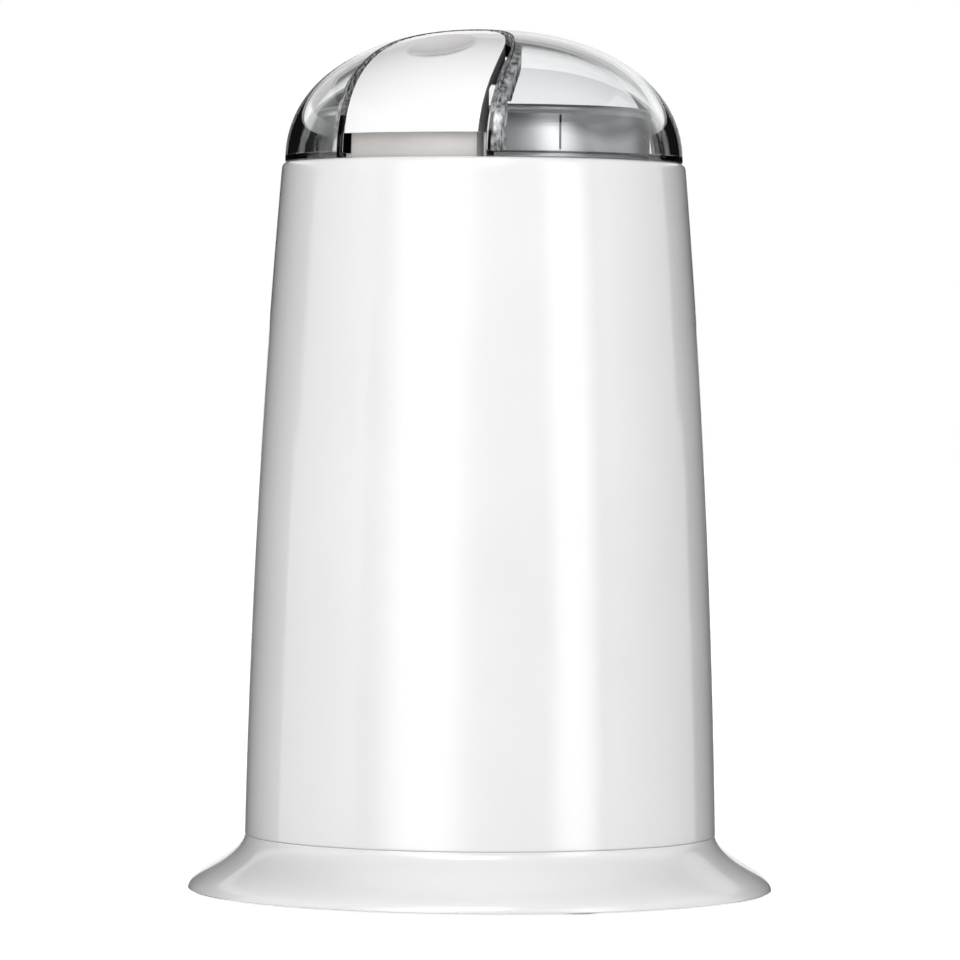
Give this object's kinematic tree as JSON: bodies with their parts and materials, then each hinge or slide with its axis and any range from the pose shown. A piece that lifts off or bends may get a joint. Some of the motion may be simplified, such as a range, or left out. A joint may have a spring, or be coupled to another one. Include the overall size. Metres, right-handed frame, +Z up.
{
  "type": "electric spice grinder",
  "caption": "Blade grinder for spices: tapered housing on a flared foot, clear dome lid with a slot, push button in the slot that follows the dome, steel bowl over a motor.",
  "frame": {"origin": "centre of the foot's resting plane, where the rubber pads meet the table", "axes": "+Z up along the axis of the motor and the housing, -Y towards the push button, +Y towards the cord gland"},
  "size_m": [0.12, 0.12, 0.1768],
  "materials": {
    "white_plastic": "high gloss",
    "grey_plastic": "satin",
    "clear_plastic": "clear, polished",
    "polished_steel": "polished",
    "plain_steel": "zinc plated",
    "lamination_steel": "stacked sheets, varnished",
    "brass": "turned",
    "copper_wire": "enamelled copper wire",
    "copper_bars": "copper, turned",
    "black_rubber": "matt",
    "natural_plastic": "matt",
    "black_plastic": "matt",
    "carbon": "pressed carbon",
    "red_plastic": "matt"
  },
  "bodies": {
    "body": {"housing": "white_plastic", "base_foot": "white_plastic", "rubber_feet": "black_rubber", "foot_screws": "plain_steel", "cord_gland": "black_rubber", "motor_carrier": "natural_plastic", "carrier_screws": "plain_steel", "bowl": "polished_steel", "bowl_gasket": "black_rubber", "bowl_nuts": "plain_steel", "shaft_seal": "black_rubber", "stator_core": "lamination_steel", "field_coils": "copper_wire", "upper_bracket": "plain_steel", "lower_bracket": "black_plastic", "upper_bushing": "brass", "lower_bushing": "brass", "brush_holders": "brass", "carbon_brushes": "carbon", "brush_springs": "plain_steel", "motor_bolts": "plain_steel", "motor_nuts": "plain_steel", "rubber_mounts": "black_rubber", "mount_screws": "plain_steel", "return_spring": "plain_steel", "switch_body": "black_plastic", "switch_terminals": "brass"},
    "rotor": {"motor_shaft": "polished_steel", "rotor_core": "lamination_steel", "armature_winding": "copper_wire", "commutator": "copper_bars", "thrust_washers": "natural_plastic", "blade_washer": "brass", "blade": "polished_steel", "blade_nut": "polished_steel"},
    "button": {"button_cap": "white_plastic", "button_slider": "grey_plastic", "actuator_rod": "polished_steel"},
    "switch_lever": {"switch_lever": "plain_steel"},
    "switch_plunger": {"switch_plunger": "red_plastic"},
    "lid": {"lid": "clear_plastic"}
  },
  "joints": [
    {"name": "lid_lift", "type": "slide", "parent": "body", "child": "lid", "axis": [0, 0, 1], "range_m": [0, 0.04]},
    {"name": "button_press", "type": "slide", "parent": "body", "child": "button", "axis": [0, 0, -1], "range_m": [0, 0.0035], "stiffness_N_per_m": 1200, "springref_m": -0.0015, "deforming": ["return_spring"]},
    {"name": "rotor_spin", "type": "hinge", "parent": "body", "child": "rotor", "pos_m": [0, 0, 0.0843], "axis": [0, 0, 1], "continuous": true},
    {"name": "lever_turn", "type": "hinge", "parent": "body", "child": "switch_lever", "pos_m": [-0.0142, -0.0351, 0.1016], "axis": [0, 1, 0], "range_deg": [0, 14]},
    {"name": "plunger_press", "type": "slide", "parent": "body", "child": "switch_plunger", "axis": [0, 0, -1], "range_m": [0, 0.0013]}
  ],
  "couplings": [
    {"joint": "lever_turn", "follows": "button_press", "rad_per_m": 69.8},
    {"joint": "plunger_press", "follows": "button_press", "ratio": 0.3714}
  ]
}
